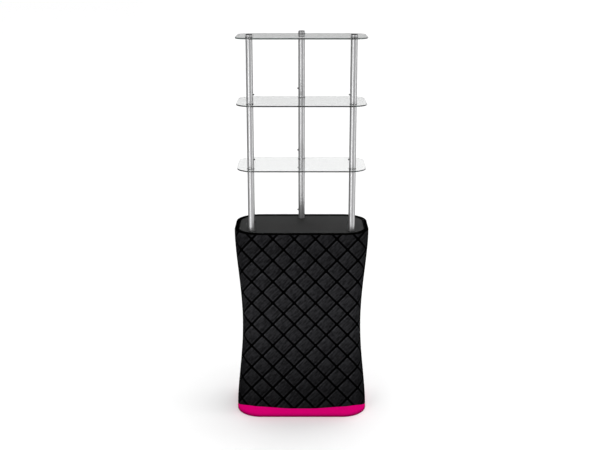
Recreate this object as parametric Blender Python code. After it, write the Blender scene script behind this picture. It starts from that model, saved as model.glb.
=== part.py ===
"""Exhibition podium: a stretch-fabric counter that carries three glass shelves on snap-together posts.

Metres, +Z up. The origin is the centre of the base board's underside, on the floor.
The front of the podium faces -Y, and +X is to its right as a visitor sees it.
"""

import math

import bmesh
import bpy
from mathutils import Vector

for leftover in list(bpy.data.objects):
    bpy.data.objects.remove(leftover, do_unlink=True)

# Gap between pieces that touch
SEAT_GAP = 0.0003

# How far shapes of one piece run into each other before they are joined
WELD_EMBED = 0.0002

# Counter body
COUNTER_HEIGHT = 0.9685
BODY_WIDTH = 0.664
BODY_DEPTH = 0.388
BODY_CORNER = 0.125
BOARD_THICKNESS = 0.022
BOARD_EDGE_ROUND = 0.0025

# Stretch-fabric sleeve
FABRIC_THICKNESS = 0.002
WAIST_DRAW = 0.0325
WAIST_SHARPNESS_SHARE = 1.58
LIP_WIDTH = 0.020
LIP_THICKNESS = 0.0037
LIP_ROUND = 0.006
LIP_BEAD_WIDTH = 0.004
LIP_BEAD_RISE = 0.0006
HEM_LIFT = 0.001

# Hook tape round the boards
HOOK_THICKNESS = 0.0016
HOOK_WIDTH = 0.016
HOOK_SETBACK = 0.0055

# Posts, poles and what joins them
POST_LENGTH = 0.3036
POST_RADIUS = 0.016
POST_WALL = 0.002
SPIGOT_WALL = 0.0015
SPIGOT_RISE = 0.090
SPIGOT_GRIP = 0.058

# Glass shelves
GLASS_THICKNESS = 0.006
GLASS_CORNER = 0.084
GLASS_ARRIS = 0.0005
SHELF_SETBACK_SIDE = 0.020
SHELF_SETBACK_FRONT = 0.021
FRONT_POST_FROM_SIDE = 0.0666
FRONT_POST_FROM_FRONT = 0.0592
REAR_POST_FROM_BACK = 0.0435

# Rubber grommets in the shelves' holes
GROMMET_FLANGE = 0.0006
GROMMET_WALL = 0.0008
GROMMET_OVERHANG = 0.002

# Snap-button clips
BUTTON_RISE = 0.044
BUTTON_RADIUS = 0.0036
BUTTON_PROUD = 0.0055
BUTTON_DOME = 0.0026
BUTTON_PLAY = 0.0009
CLIP_ARM = 0.038
CLIP_TAIL = 0.006
CLIP_WIDTH = 0.008
CLIP_THICKNESS = 0.0008
CLIP_TAB_WIDTH = 0.004
CLIP_TAB_PLAY = 0.0006

# Caps on the top shelf
COLLAR_HEIGHT = 0.0105
COLLAR_CHAMFER = 0.0008
PLUG_GRIP = 0.040
PLUG_HEAD = 0.0026
PLUG_HEAD_INSET = 0.0012
PLUG_HEAD_ROUND = 0.001

# Sockets on the base board
SOCKET_FLANGE_RADIUS = 0.035
SOCKET_FLANGE = 0.004
SOCKET_RISE = 0.070
SOCKET_CHAMFER = 0.002
SOCKET_STUD_RADIUS = 0.005
SOCKET_STUD = 0.016
STUD_HOLE_SPARE = 0.0005

# Zip up the back
ZIP_FOOT = 0.060
ZIP_HEAD_DROP = 0.070
ZIP_TAPE_WIDTH = 0.030
ZIP_TAPE = 0.0008
ZIP_CHAIN_WIDTH = 0.006
ZIP_CHAIN = 0.0018
ZIP_SLIT_WIDTH = 0.006
ZIP_SLIT_MARGIN = 0.008
SLIDER_LENGTH = 0.012
SLIDER_SKIRT = 0.0015
SLIDER_PLATE = 0.0012
SLIDER_PARK = 0.012
LUG_THICKNESS = 0.0012
LUG_LENGTH = 0.0040
LUG_HEIGHT = 0.0034
PIN_RADIUS = 0.0007
PIN_HEIGHT = 0.0022
PULL_KNUCKLE_RADIUS = 0.0018
PULL_KNUCKLE_WIDTH = 0.0028
PULL_PLAY = 0.0002
PULL_LENGTH = 0.032
PULL_WIDTH = 0.008
PULL_THICKNESS = 0.0012
PULL_NECK = 0.0048

# Faceting
ROUND_SIDES = 24
SMALL_SIDES = 16
CORNER_STEPS = 8
WAIST_STEPS = 9
SMOOTH_ANGLE = math.radians(40)
OVERRUN = 0.004

# Heights and places that follow from the sizes above
half_width = BODY_WIDTH / 2
half_depth = BODY_DEPTH / 2
shelf_half_width = half_width - SHELF_SETBACK_SIDE
shelf_half_depth = half_depth - SHELF_SETBACK_FRONT
front_post_x = shelf_half_width - FRONT_POST_FROM_SIDE
front_post_y = FRONT_POST_FROM_FRONT - shelf_half_depth
rear_post_y = shelf_half_depth - REAR_POST_FROM_BACK
zip_head = COUNTER_HEIGHT - ZIP_HEAD_DROP

board_underside = COUNTER_HEIGHT - BOARD_THICKNESS
lip_underside = COUNTER_HEIGHT + SEAT_GAP
lip_top = lip_underside + LIP_THICKNESS
hook_inset = FABRIC_THICKNESS + SEAT_GAP
board_inset = hook_inset + HOOK_THICKNESS + SEAT_GAP

post_bore = POST_RADIUS - POST_WALL
spigot_radius = post_bore - SEAT_GAP
spigot_bore = spigot_radius - SPIGOT_WALL
grommet_bore = spigot_radius + SEAT_GAP
grommet_sleeve = grommet_bore + GROMMET_WALL
glass_hole = grommet_sleeve + SEAT_GAP
button_hole = BUTTON_RADIUS + BUTTON_PLAY
clip_reach = math.sqrt((spigot_bore - SEAT_GAP) ** 2 - (CLIP_WIDTH / 2) ** 2)
clip_hinge_x = clip_reach - CLIP_THICKNESS / 2
clip_hinge_z = BUTTON_RISE - CLIP_ARM

# Post name, place in plan, and the way its snap buttons face along X
POSTS = (
    ("left", -front_post_x, front_post_y, 1),
    ("right", front_post_x, front_post_y, -1),
    ("rear", 0, rear_post_y, -1),
)
LEVELS = ("lower", "middle", "upper")

# Foot of each row of posts, and top of each glass shelf, from the counter up
post_feet = [COUNTER_HEIGHT + SEAT_GAP]
glass_tops = []
for level in LEVELS:
    flange_foot = post_feet[-1] + POST_LENGTH + SEAT_GAP
    glass_tops.append(flange_foot + GROMMET_FLANGE + SEAT_GAP + GLASS_THICKNESS)
    post_feet.append(glass_tops[-1] + SEAT_GAP + GROMMET_FLANGE + SEAT_GAP)


def finish(name, colour, roughness, metallic=0.0, alpha=1.0):
    """A Principled material of one colour."""
    material = bpy.data.materials.new(name)
    material.use_nodes = True
    shader = material.node_tree.nodes["Principled BSDF"]
    shader.inputs["Base Color"].default_value = (*colour, 1.0)
    shader.inputs["Roughness"].default_value = roughness
    shader.inputs["Metallic"].default_value = metallic
    shader.inputs["Alpha"].default_value = alpha
    return material


ANODISED = finish("satin_anodised_aluminium", (0.62, 0.62, 0.63), 0.32, 1.0)
STEEL = finish("zinc_plated_steel", (0.50, 0.50, 0.52), 0.38, 1.0)
SPRING_STEEL = finish("black_spring_steel", (0.06, 0.06, 0.065), 0.40, 0.8)
GLASS = finish("clear_float_glass", (0.80, 0.92, 0.88), 0.03, 0.0, 0.35)
RUBBER = finish("black_rubber", (0.02, 0.02, 0.02), 0.75)
PLASTIC = finish("black_plastic", (0.025, 0.025, 0.025), 0.40)
LAMINATE = finish("dark_grey_laminate", (0.037, 0.037, 0.038), 0.55)
FABRIC = finish("black_stretch_fabric", (0.015, 0.015, 0.017), 0.80)
HOOK_TAPE = finish("black_hook_tape", (0.012, 0.012, 0.012), 0.90)
ZIP_NYLON = finish("black_zip_nylon", (0.018, 0.018, 0.018), 0.60)
ZIP_METAL = finish("black_zip_metal", (0.035, 0.035, 0.037), 0.35, 0.8)


def loft(rings, closed=False):
    """A mesh skinned over rings of as many points each: a closed loop of rings, or a stack with flat ends."""
    skin = bmesh.new()
    rows = [[skin.verts.new(point) for point in ring] for ring in rings]
    pairs = list(zip(rows, rows[1:]))
    if closed:
        pairs.append((rows[-1], rows[0]))
    for low, high in pairs:
        for i in range(len(low)):
            j = (i + 1) % len(low)
            skin.faces.new((low[i], low[j], high[j], high[i]))
    if not closed:
        skin.faces.new(rows[0][::-1])
        skin.faces.new(rows[-1])
    bmesh.ops.recalc_face_normals(skin, faces=skin.faces[:])
    mesh = bpy.data.meshes.new("shape")
    skin.to_mesh(mesh)
    skin.free()
    return mesh


def turned(profile, closed=False, sides=ROUND_SIDES):
    """A mesh turned about Z from (radius, height) points."""
    turns = [2 * math.pi * i / sides for i in range(sides)]
    rings = [[(r * math.cos(a), r * math.sin(a), z) for a in turns] for r, z in profile]
    return loft(rings, closed)


def tube(outer, inner, low, high):
    """A round tube that stands on Z."""
    return turned([(outer, low), (outer, high), (inner, high), (inner, low)], closed=True)


def prism(points, low, high):
    """A mesh that runs along Z with the given (x, y) section."""
    return loft([[(x, y, z) for x, y in points] for z in (low, high)])


def block(low, high):
    """A box between two corners."""
    (x0, y0, z0), (x1, y1, z1) = low, high
    return prism([(x0, y0), (x1, y0), (x1, y1), (x0, y1)], z0, z1)


def laid_along_x(mesh):
    """The mesh turned so that its Z axis lies along X."""
    for vertex in mesh.vertices:
        x, y, z = vertex.co
        vertex.co = (z, y, -x)
    return mesh


def combined(mesh, others, operation):
    """The mesh with the other meshes cut out of it or joined to it."""
    blanks = []
    for shape in (mesh, *others):
        blank = bpy.data.objects.new("blank", shape)
        bpy.context.scene.collection.objects.link(blank)
        blanks.append(blank)
    for other in blanks[1:]:
        step = blanks[0].modifiers.new("step", "BOOLEAN")
        step.operation = operation
        step.solver = "EXACT"
        step.object = other
    view = bpy.context.evaluated_depsgraph_get()
    result = bpy.data.meshes.new_from_object(blanks[0].evaluated_get(view))
    for blank in blanks:
        bpy.data.objects.remove(blank, do_unlink=True)
    return result


def cut(mesh, *cutters):
    return combined(mesh, cutters, "DIFFERENCE")


def joined(mesh, *others):
    return combined(mesh, others, "UNION")


def piece(name, mesh, material, place=(0, 0, 0), facing=1, parent=None):
    """One sub-part. Facing -1 turns it half round about Z."""
    sub_part = bpy.data.objects.new(name, mesh)
    bpy.context.scene.collection.objects.link(sub_part)
    if not mesh.materials:
        mesh.materials.append(material)
    else:
        mesh.materials[0] = material
    mesh.shade_smooth()
    mesh.set_sharp_from_angle(angle=SMOOTH_ANGLE)
    sub_part.location = place
    sub_part.rotation_euler.z = 0 if facing > 0 else math.pi
    sub_part.parent = parent
    return sub_part


def rounded_outline(half_x, half_y, corner):
    """Points and outward normals of a rounded rectangle, anticlockwise."""
    outline = []
    corners = ((1, 1), (-1, 1), (-1, -1), (1, -1))
    for turn, (sign_x, sign_y) in enumerate(corners):
        centre = Vector((sign_x * (half_x - corner), sign_y * (half_y - corner)))
        for step in range(CORNER_STEPS + 1):
            angle = math.pi / 2 * (turn + step / CORNER_STEPS)
            normal = Vector((math.cos(angle), math.sin(angle)))
            outline.append((centre + corner * normal, normal))
    return outline


def inset_ring(outline, inset, height):
    """The outline moved inwards by the inset, at a height."""
    return [(*(point - inset * normal), height) for point, normal in outline]


body_outline = rounded_outline(half_width, half_depth, BODY_CORNER)
shelf_outline = rounded_outline(shelf_half_width, shelf_half_depth, GLASS_CORNER)


# Fabric sleeve: tension draws its rounded ends in between the two boards
def waist_draw(height):
    """How far the ends are drawn in at a height: none at the boards, most halfway between them."""
    share = (height - BOARD_THICKNESS) / (board_underside - BOARD_THICKNESS)
    share = min(max(share, 0), 1)
    bow = max(math.sin(math.pi * share), 0)
    return WAIST_DRAW * bow**WAIST_SHARPNESS_SHARE


def sleeve_ring(inset, height):
    """A ring of the sleeve. Only what faces sideways is drawn in, so the front and the back stay flat."""
    draw = waist_draw(height)
    return [
        (*(point - (inset + draw * normal.x**2) * normal), height) for point, normal in body_outline
    ]


def round_over(inset, radius, top):
    """Three (inset, height) points of a quarter round that turns in at the top."""
    slant = radius * (1 - math.sqrt(0.5))
    return [(inset, top - radius), (inset + slant, top - slant), (inset + radius, top)]


waist_step = (board_underside - BOARD_THICKNESS) / WAIST_STEPS
waist_heights = [BOARD_THICKNESS + waist_step * i for i in range(WAIST_STEPS + 1)]
wall_heights = [HEM_LIFT, *waist_heights]
outer_wall = [(0, z) for z in wall_heights]
outer_wall += round_over(0, LIP_ROUND, lip_top)
outer_wall += [
    (LIP_WIDTH - LIP_BEAD_WIDTH, lip_top),
    (LIP_WIDTH - LIP_BEAD_WIDTH / 2, lip_top + LIP_BEAD_RISE),
    (LIP_WIDTH, lip_top),
]
inner_wall = [(FABRIC_THICKNESS, z) for z in wall_heights]
inner_wall += round_over(FABRIC_THICKNESS, LIP_ROUND - FABRIC_THICKNESS, lip_underside)
inner_wall += [(LIP_WIDTH, lip_underside)]
sleeve = loft([sleeve_ring(inset, z) for inset, z in outer_wall + inner_wall[::-1]], closed=True)
slit = block(
    (-ZIP_SLIT_WIDTH / 2, half_depth - FABRIC_THICKNESS - OVERRUN, ZIP_FOOT + ZIP_SLIT_MARGIN),
    (ZIP_SLIT_WIDTH / 2, half_depth + OVERRUN, zip_head - ZIP_SLIT_MARGIN),
)
piece("fabric_cover", cut(sleeve, slit), FABRIC)


# Boards: the counter top, which the posts' spigots pass through, and the base board
def peg(radius, x, y, low, high, sides=ROUND_SIDES):
    """A round cutter that stands at a place in plan."""
    mesh = turned([(radius, low), (radius, high)], sides=sides)
    for vertex in mesh.vertices:
        vertex.co += Vector((x, y, 0))
    return mesh


top_board = loft(
    [
        inset_ring(body_outline, board_inset, board_underside),
        inset_ring(body_outline, board_inset, COUNTER_HEIGHT - BOARD_EDGE_ROUND),
        inset_ring(body_outline, board_inset + BOARD_EDGE_ROUND, COUNTER_HEIGHT),
    ]
)
spigot_holes = [
    peg(spigot_radius + SEAT_GAP, x, y, board_underside - OVERRUN, COUNTER_HEIGHT + OVERRUN)
    for name, x, y, facing in POSTS
]
piece("top_board", cut(top_board, *spigot_holes), LAMINATE)

base_board = loft([inset_ring(body_outline, board_inset, z) for z in (0, BOARD_THICKNESS)])
stud_floor = BOARD_THICKNESS + SEAT_GAP - SOCKET_STUD - STUD_HOLE_SPARE
stud_holes = [
    peg(SOCKET_STUD_RADIUS + SEAT_GAP, x, y, stud_floor, BOARD_THICKNESS + OVERRUN)
    for name, x, y, facing in POSTS
]
piece("base_board", cut(base_board, *stud_holes), LAMINATE)


# Hook tape glued round the edge of each board
def hook_strip(name, low):
    corners = (
        (hook_inset, low),
        (hook_inset, low + HOOK_WIDTH),
        (hook_inset + HOOK_THICKNESS, low + HOOK_WIDTH),
        (hook_inset + HOOK_THICKNESS, low),
    )
    piece(name, loft([inset_ring(body_outline, i, z) for i, z in corners], closed=True), HOOK_TAPE)


hook_strip("top_hook_strip", COUNTER_HEIGHT - HOOK_SETBACK - HOOK_WIDTH)
hook_strip("base_hook_strip", BOARD_THICKNESS - HOOK_SETBACK - HOOK_WIDTH + HEM_LIFT)

# Sockets on the base board: flange, spigot and the stud that screws into the board
socket_seat = BOARD_THICKNESS + SEAT_GAP
socket_top = SOCKET_FLANGE + SOCKET_RISE
socket = turned(
    [
        (SOCKET_STUD_RADIUS, -SOCKET_STUD),
        (SOCKET_STUD_RADIUS, 0),
        (SOCKET_FLANGE_RADIUS, 0),
        (SOCKET_FLANGE_RADIUS, SOCKET_FLANGE),
        (spigot_radius, SOCKET_FLANGE),
        (spigot_radius, socket_top - SOCKET_CHAMFER),
        (spigot_radius - SOCKET_CHAMFER, socket_top),
    ]
)
for name, x, y, facing in POSTS:
    piece(f"base_socket_{name}", socket, STEEL, (x, y, socket_seat))

# Poles inside the fabric, from the sockets' flanges to the underside of the counter top
pole_foot = socket_seat + SOCKET_FLANGE + SEAT_GAP
pole_length = board_underside - SEAT_GAP - pole_foot
pole = tube(POST_RADIUS, post_bore, 0, pole_length)
for name, x, y, facing in POSTS:
    piece(f"pole_{name}", pole, ANODISED, (x, y, pole_foot))


# Posts, with a hole for the snap button that locks each to the spigot in its foot
def button_cutter():
    """A round cutter that runs out along X at the button's height above the post's foot."""
    mesh = laid_along_x(turned([(button_hole, 0), (button_hole, POST_RADIUS + OVERRUN)], sides=SMALL_SIDES))
    for vertex in mesh.vertices:
        vertex.co.z += BUTTON_RISE
    return mesh


post = cut(tube(POST_RADIUS, post_bore, 0, POST_LENGTH), button_cutter())
for level, foot in zip(LEVELS, post_feet):
    for name, x, y, facing in POSTS:
        piece(f"post_{level}_{name}", post, ANODISED, (x, y, foot), facing)

# Spigots, pressed into what is below each post, with the button's hole and a slot for the clip's tab
tab_half_height = CLIP_THICKNESS / 2 + CLIP_TAB_PLAY
tab_half_width = CLIP_TAB_WIDTH / 2 + SEAT_GAP
tab_slot = block(
    (0, -tab_half_width, clip_hinge_z - tab_half_height),
    (spigot_radius + OVERRUN, tab_half_width, clip_hinge_z + tab_half_height),
)
spigot = tube(spigot_radius, spigot_bore, -BOARD_THICKNESS - SPIGOT_GRIP, SPIGOT_RISE)
spigot = cut(spigot, button_cutter(), tab_slot)
for level, foot in zip(LEVELS, post_feet):
    for name, x, y, facing in POSTS:
        piece(f"spigot_{level}_{name}", spigot, STEEL, (x, y, foot), facing)

# Snap-button clips: a leaf that springs about the tab at its foot, with a domed button near its top.
# A clip's own origin is on the axis that it turns about.
half_leaf = CLIP_THICKNESS / 2
button_tip = POST_RADIUS + BUTTON_PROUD - clip_hinge_x
dome = round_over(0, BUTTON_DOME, button_tip)
button_shape = [(BUTTON_RADIUS - inset, z) for inset, z in [(0, half_leaf - WELD_EMBED), *dome]]
button = laid_along_x(turned(button_shape, sides=SMALL_SIDES))
for vertex in button.vertices:
    vertex.co.z += CLIP_ARM
leaf = block((-half_leaf, -CLIP_WIDTH / 2, -half_leaf), (half_leaf, CLIP_WIDTH / 2, CLIP_ARM + CLIP_TAIL))
tab = block(
    (0, -CLIP_TAB_WIDTH / 2, -half_leaf),
    (spigot_radius - SEAT_GAP - clip_hinge_x, CLIP_TAB_WIDTH / 2, half_leaf),
)
clip = joined(leaf, tab, button)
for level, foot in zip(LEVELS, post_feet):
    for name, x, y, facing in POSTS:
        hinge = (x + facing * clip_hinge_x, y, foot + clip_hinge_z)
        piece(f"clip_{level}_{name}", clip, SPRING_STEEL, hinge, facing)

# Glass shelves, with ground edges and a hole for each post's spigot
for level, top in zip(LEVELS, glass_tops):
    underside = top - GLASS_THICKNESS
    plate = loft(
        [
            inset_ring(shelf_outline, GLASS_ARRIS, underside),
            inset_ring(shelf_outline, 0, underside + GLASS_ARRIS),
            inset_ring(shelf_outline, 0, top - GLASS_ARRIS),
            inset_ring(shelf_outline, GLASS_ARRIS, top),
        ]
    )
    holes = [peg(glass_hole, x, y, underside - OVERRUN, top + OVERRUN) for name, x, y, facing in POSTS]
    piece(f"shelf_{level}", cut(plate, *holes), GLASS)

# Grommets: a sleeve through the glass with a flange above it and one below, on which the glass rests
flange_radius = POST_RADIUS + GROMMET_OVERHANG
flange_top = SEAT_GAP + GROMMET_FLANGE
flange_bottom = -GLASS_THICKNESS - SEAT_GAP - GROMMET_FLANGE
grommet = turned(
    [
        (grommet_bore, flange_bottom),
        (flange_radius, flange_bottom),
        (flange_radius, flange_bottom + GROMMET_FLANGE),
        (grommet_sleeve, flange_bottom + GROMMET_FLANGE),
        (grommet_sleeve, SEAT_GAP),
        (flange_radius, SEAT_GAP),
        (flange_radius, flange_top),
        (grommet_bore, flange_top),
    ],
    closed=True,
)
for level, top in zip(LEVELS, glass_tops):
    for name, x, y, facing in POSTS:
        piece(f"grommet_{level}_{name}", grommet, RUBBER, (x, y, top))

# Caps: an aluminium collar on the top shelf, held by a plug whose stem goes down into the post
cap_foot = post_feet[-1]
collar = turned(
    [
        (grommet_bore, 0),
        (POST_RADIUS, 0),
        (POST_RADIUS, COLLAR_HEIGHT - COLLAR_CHAMFER),
        (POST_RADIUS - COLLAR_CHAMFER, COLLAR_HEIGHT),
        (grommet_bore, COLLAR_HEIGHT),
    ],
    closed=True,
)
head_foot = COLLAR_HEIGHT + SEAT_GAP
head_radius = POST_RADIUS - PLUG_HEAD_INSET
plug = turned(
    [
        (spigot_radius, -PLUG_GRIP),
        (spigot_radius, head_foot),
        (head_radius, head_foot),
        (head_radius, head_foot + PLUG_HEAD - PLUG_HEAD_ROUND),
        (head_radius - PLUG_HEAD_ROUND, head_foot + PLUG_HEAD),
    ]
)
for name, x, y, facing in POSTS:
    piece(f"cap_collar_{name}", collar, ANODISED, (x, y, cap_foot))
    piece(f"cap_plug_{name}", plug, PLASTIC, (x, y, cap_foot))

# Zip: a tape with a raised chain, which closes the slit in the back of the sleeve
tape_back = half_depth + SEAT_GAP
tape_face = tape_back + ZIP_TAPE
chain_face = tape_back + ZIP_CHAIN
half_tape = ZIP_TAPE_WIDTH / 2
half_chain = ZIP_CHAIN_WIDTH / 2
zip_section = [
    (-half_tape, tape_back),
    (half_tape, tape_back),
    (half_tape, tape_face),
    (half_chain, tape_face),
    (half_chain, chain_face),
    (-half_chain, chain_face),
    (-half_chain, tape_face),
    (-half_tape, tape_face),
]
piece("zip_tape", prism(zip_section, ZIP_FOOT, zip_head), ZIP_NYLON)

# Slider: a channel over the chain, and two lugs with a pin that the pull hangs from.
# Its own origin is on the chain's face, at the pin's height.
slider_z = zip_head - SLIDER_PARK - SLIDER_LENGTH / 2
channel_half = half_chain + SEAT_GAP
shell_half = channel_half + SLIDER_SKIRT
skirt_foot = tape_face + SEAT_GAP - chain_face
plate_foot = SEAT_GAP
plate_face = plate_foot + SLIDER_PLATE
channel = [
    (-shell_half, skirt_foot),
    (-channel_half, skirt_foot),
    (-channel_half, plate_foot),
    (channel_half, plate_foot),
    (channel_half, skirt_foot),
    (shell_half, skirt_foot),
    (shell_half, plate_face),
    (-shell_half, plate_face),
]
lug_inner = PULL_KNUCKLE_WIDTH / 2 + SEAT_GAP
lug_outer = lug_inner + LUG_THICKNESS
lugs = [
    block(
        (min(side * lug_inner, side * lug_outer), plate_face - WELD_EMBED, -LUG_LENGTH / 2),
        (max(side * lug_inner, side * lug_outer), plate_face + LUG_HEIGHT, LUG_LENGTH / 2),
    )
    for side in (-1, 1)
]
pin_y = plate_face + PIN_HEIGHT
pin_half = lug_inner + LUG_THICKNESS / 2
pin = laid_along_x(turned([(PIN_RADIUS, -pin_half), (PIN_RADIUS, pin_half)], sides=SMALL_SIDES))
for vertex in pin.vertices:
    vertex.co.y += pin_y
slider = joined(prism(channel, -SLIDER_LENGTH / 2, SLIDER_LENGTH / 2), *lugs, pin)
zip_slider = piece("zip_slider", slider, ZIP_METAL, (0, chain_face, slider_z))

# Pull: a flat tab that hangs from a knuckle round the slider's pin, which is its own origin
knuckle_half = PULL_KNUCKLE_WIDTH / 2
knuckle = turned(
    [
        (PULL_KNUCKLE_RADIUS, -knuckle_half),
        (PULL_KNUCKLE_RADIUS, knuckle_half),
        (PIN_RADIUS + PULL_PLAY, knuckle_half),
        (PIN_RADIUS + PULL_PLAY, -knuckle_half),
    ],
    closed=True,
    sides=SMALL_SIDES,
)
neck_top = -(PIN_RADIUS + PULL_PLAY + PULL_KNUCKLE_RADIUS) / 2
half_pull = PULL_THICKNESS / 2
neck = block((-knuckle_half, -half_pull, -PULL_NECK), (knuckle_half, half_pull, neck_top))
tab_outline = [
    (-PULL_WIDTH / 2, -PULL_LENGTH + PULL_WIDTH / 4),
    (-PULL_WIDTH / 4, -PULL_LENGTH),
    (PULL_WIDTH / 4, -PULL_LENGTH),
    (PULL_WIDTH / 2, -PULL_LENGTH + PULL_WIDTH / 4),
    (PULL_WIDTH / 2, -PULL_NECK),
    (knuckle_half, -PULL_NECK + half_pull),
    (-knuckle_half, -PULL_NECK + half_pull),
    (-PULL_WIDTH / 2, -PULL_NECK),
]
flat_tab = loft([[(x, y, z) for x, z in tab_outline] for y in (-half_pull, half_pull)])
pull = joined(laid_along_x(knuckle), neck, flat_tab)
piece("zip_pull", pull, ZIP_METAL, (0, pin_y, 0), parent=zip_slider)
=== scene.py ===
import math

import bmesh
import bpy
import numpy as np
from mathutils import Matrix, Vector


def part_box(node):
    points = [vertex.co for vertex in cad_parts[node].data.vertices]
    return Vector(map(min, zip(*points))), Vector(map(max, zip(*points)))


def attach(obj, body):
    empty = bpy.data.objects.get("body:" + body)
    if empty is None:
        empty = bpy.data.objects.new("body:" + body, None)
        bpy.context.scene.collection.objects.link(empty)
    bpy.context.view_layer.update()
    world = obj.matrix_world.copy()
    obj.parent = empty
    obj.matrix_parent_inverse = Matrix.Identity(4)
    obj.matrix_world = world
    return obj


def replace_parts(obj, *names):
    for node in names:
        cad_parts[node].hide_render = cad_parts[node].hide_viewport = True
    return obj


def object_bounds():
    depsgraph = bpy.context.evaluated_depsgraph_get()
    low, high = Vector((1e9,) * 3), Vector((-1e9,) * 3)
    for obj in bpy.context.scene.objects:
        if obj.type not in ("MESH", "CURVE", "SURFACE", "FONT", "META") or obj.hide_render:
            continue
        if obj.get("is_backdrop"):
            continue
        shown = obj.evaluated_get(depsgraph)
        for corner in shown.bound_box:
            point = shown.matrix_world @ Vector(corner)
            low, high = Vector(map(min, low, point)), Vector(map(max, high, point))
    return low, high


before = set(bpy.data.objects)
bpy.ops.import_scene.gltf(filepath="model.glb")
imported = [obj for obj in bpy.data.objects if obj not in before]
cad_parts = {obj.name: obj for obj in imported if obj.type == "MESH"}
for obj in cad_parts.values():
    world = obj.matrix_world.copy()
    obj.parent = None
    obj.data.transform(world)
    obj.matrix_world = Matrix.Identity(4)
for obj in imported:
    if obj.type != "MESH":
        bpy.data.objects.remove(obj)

cad_low, cad_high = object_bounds()


# Base board and counter top. Two slabs of board with rounded ends, routed to one outline and faced in dark
# grey laminate with a fine pebble. The top one is drilled for the posts' spigots, and the base takes the
# poles' sockets.
class Value:
    """One output in a finish. Sums on it add Math nodes, so 1 - mask reads as it does in plain Python."""

    def __init__(self, finish, socket):
        self.finish = finish
        self.socket = socket

    def math(self, operation, *terms):
        """A Math node on one or two terms."""
        named = dict(zip(("Value", "Value_001"), terms))
        return self.finish.node("ShaderNodeMath", {"operation": operation}, named)

    def __add__(self, other):
        return self.math("ADD", self, other)

    def __sub__(self, other):
        return self.math("SUBTRACT", self, other)

    def __rsub__(self, other):
        return self.math("SUBTRACT", other, self)

    def __mul__(self, other):
        return self.math("MULTIPLY", self, other)

    __radd__ = __add__
    __rmul__ = __mul__

    def size(self):
        """The value without its sign."""
        return self.math("ABSOLUTE", self)

    def fraction(self):
        """What is left above the whole number below."""
        return self.math("FRACT", self)

    def wave(self, pitch):
        """A sine that repeats after each pitch."""
        return self.math("SINE", self * (2 * math.pi / pitch))

    def rise(self, low, high):
        """0 below low, 1 above high, and an S-shaped climb between the two."""
        ends = {"Value": self, "From Min": low, "From Max": high}
        return self.finish.node("ShaderNodeMapRange", {"interpolation_type": "SMOOTHSTEP"}, ends)

    def ridge(self, middle, half_width):
        """1 at the middle, falling to 0 at half a width on each side."""
        return 1 - (self - middle).size().rise(0, half_width)

    def between(self, first, second):
        """The first number where the value is 0, the second where it is 1, in a straight line."""
        return first + (second - first) * self

    def part(self, index):
        """One of a vector's three numbers."""
        return self.finish.node("ShaderNodeSeparateXYZ", {}, {"Vector": self}, output=index)


class Finish:
    """A material in the making. node() adds any node, and surface() ends it in one Principled shader."""

    def __init__(self, name, shelf=bpy.data.materials):
        self.material = shelf.new(name)
        self.material.use_nodes = True
        self.tree = self.material.node_tree
        self.tree.nodes.clear()

    def node(self, kind, settings, sockets, output=0):
        """A node with its settings, and a value or a link in each named socket. Gives one of its outputs."""
        made = self.tree.nodes.new(kind)
        for setting, value in settings.items():
            setattr(made, setting, value)
        for name, given in sockets.items():
            socket = next(s for s in made.inputs if s.identifier == name)
            if isinstance(given, Value):
                self.tree.links.new(given.socket, socket)
            else:
                socket.default_value = given
        return Value(self, made.outputs[output]) if made.outputs else None

    def place(self, scale=(1, 1, 1)):
        """The piece's own coordinates in metres, stretched along each axis."""
        at = self.node("ShaderNodeTexCoord", {}, {}, output=3)
        return self.node("ShaderNodeMapping", {}, {"Vector": at, "Scale": scale})

    def noise(self, per_metre, detail=2.0, at=None):
        """Cloudy noise from 0 to 1, over the piece's own coordinates or over others."""
        sockets = {"Vector": at or self.place(), "Scale": per_metre, "Detail": detail}
        return self.node("ShaderNodeTexNoise", {}, sockets)

    def mixed(self, share, first, second):
        """The first colour where the share is 0, the second where it is 1."""
        sockets = {"Factor_Float": share, "A_Color": first, "B_Color": second}
        return self.node("ShaderNodeMix", {"data_type": "RGBA"}, sockets, output=2)

    def bump(self, height, depth, strength=1.0):
        """A normal bent by a height from 0 to 1, which stands for a depth in metres."""
        return self.node("ShaderNodeBump", {}, {"Height": height, "Distance": depth, "Strength": strength})

    def surface(self, sockets, volume=None):
        """The finished material: a Principled shader with these sockets, and its volume."""
        ends = {"Surface": self.node("ShaderNodeBsdfPrincipled", {}, sockets)}
        if volume:
            ends["Volume"] = volume
        self.node("ShaderNodeOutputMaterial", {}, ends)
        return self.material


def grey(level, blue=1.0):
    """A grey, whose blue may be a little stronger or weaker than its red and green."""
    return (level, level, level * blue, 1.0)


def dress(material, *nodes):
    """Gives CAD nodes a finish."""
    for name in nodes:
        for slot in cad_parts[name].material_slots:
            slot.material = material


LAMINATE_DARK = grey(0.0165)
LAMINATE_LIGHT = grey(0.0240)
PEBBLE_SHARE = 0.7

laminate = Finish("dark_grey_laminate")
pebble = laminate.noise(per_metre=1100, detail=3.0)
cloud = laminate.noise(per_metre=9, detail=3.0)
speckle = (pebble * PEBBLE_SHARE + cloud * (1 - PEBBLE_SHARE)).rise(0.3, 0.7)
LAMINATE = laminate.surface(
    {
        "Base Color": laminate.mixed(speckle, LAMINATE_DARK, LAMINATE_LIGHT),
        "Roughness": cloud.between(0.60, 0.72),
        "Specular IOR Level": 0.10,
        "Normal": laminate.bump(pebble, depth=0.00012, strength=0.5),
    }
)
dress(LAMINATE, "base_board", "top_board")


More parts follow.
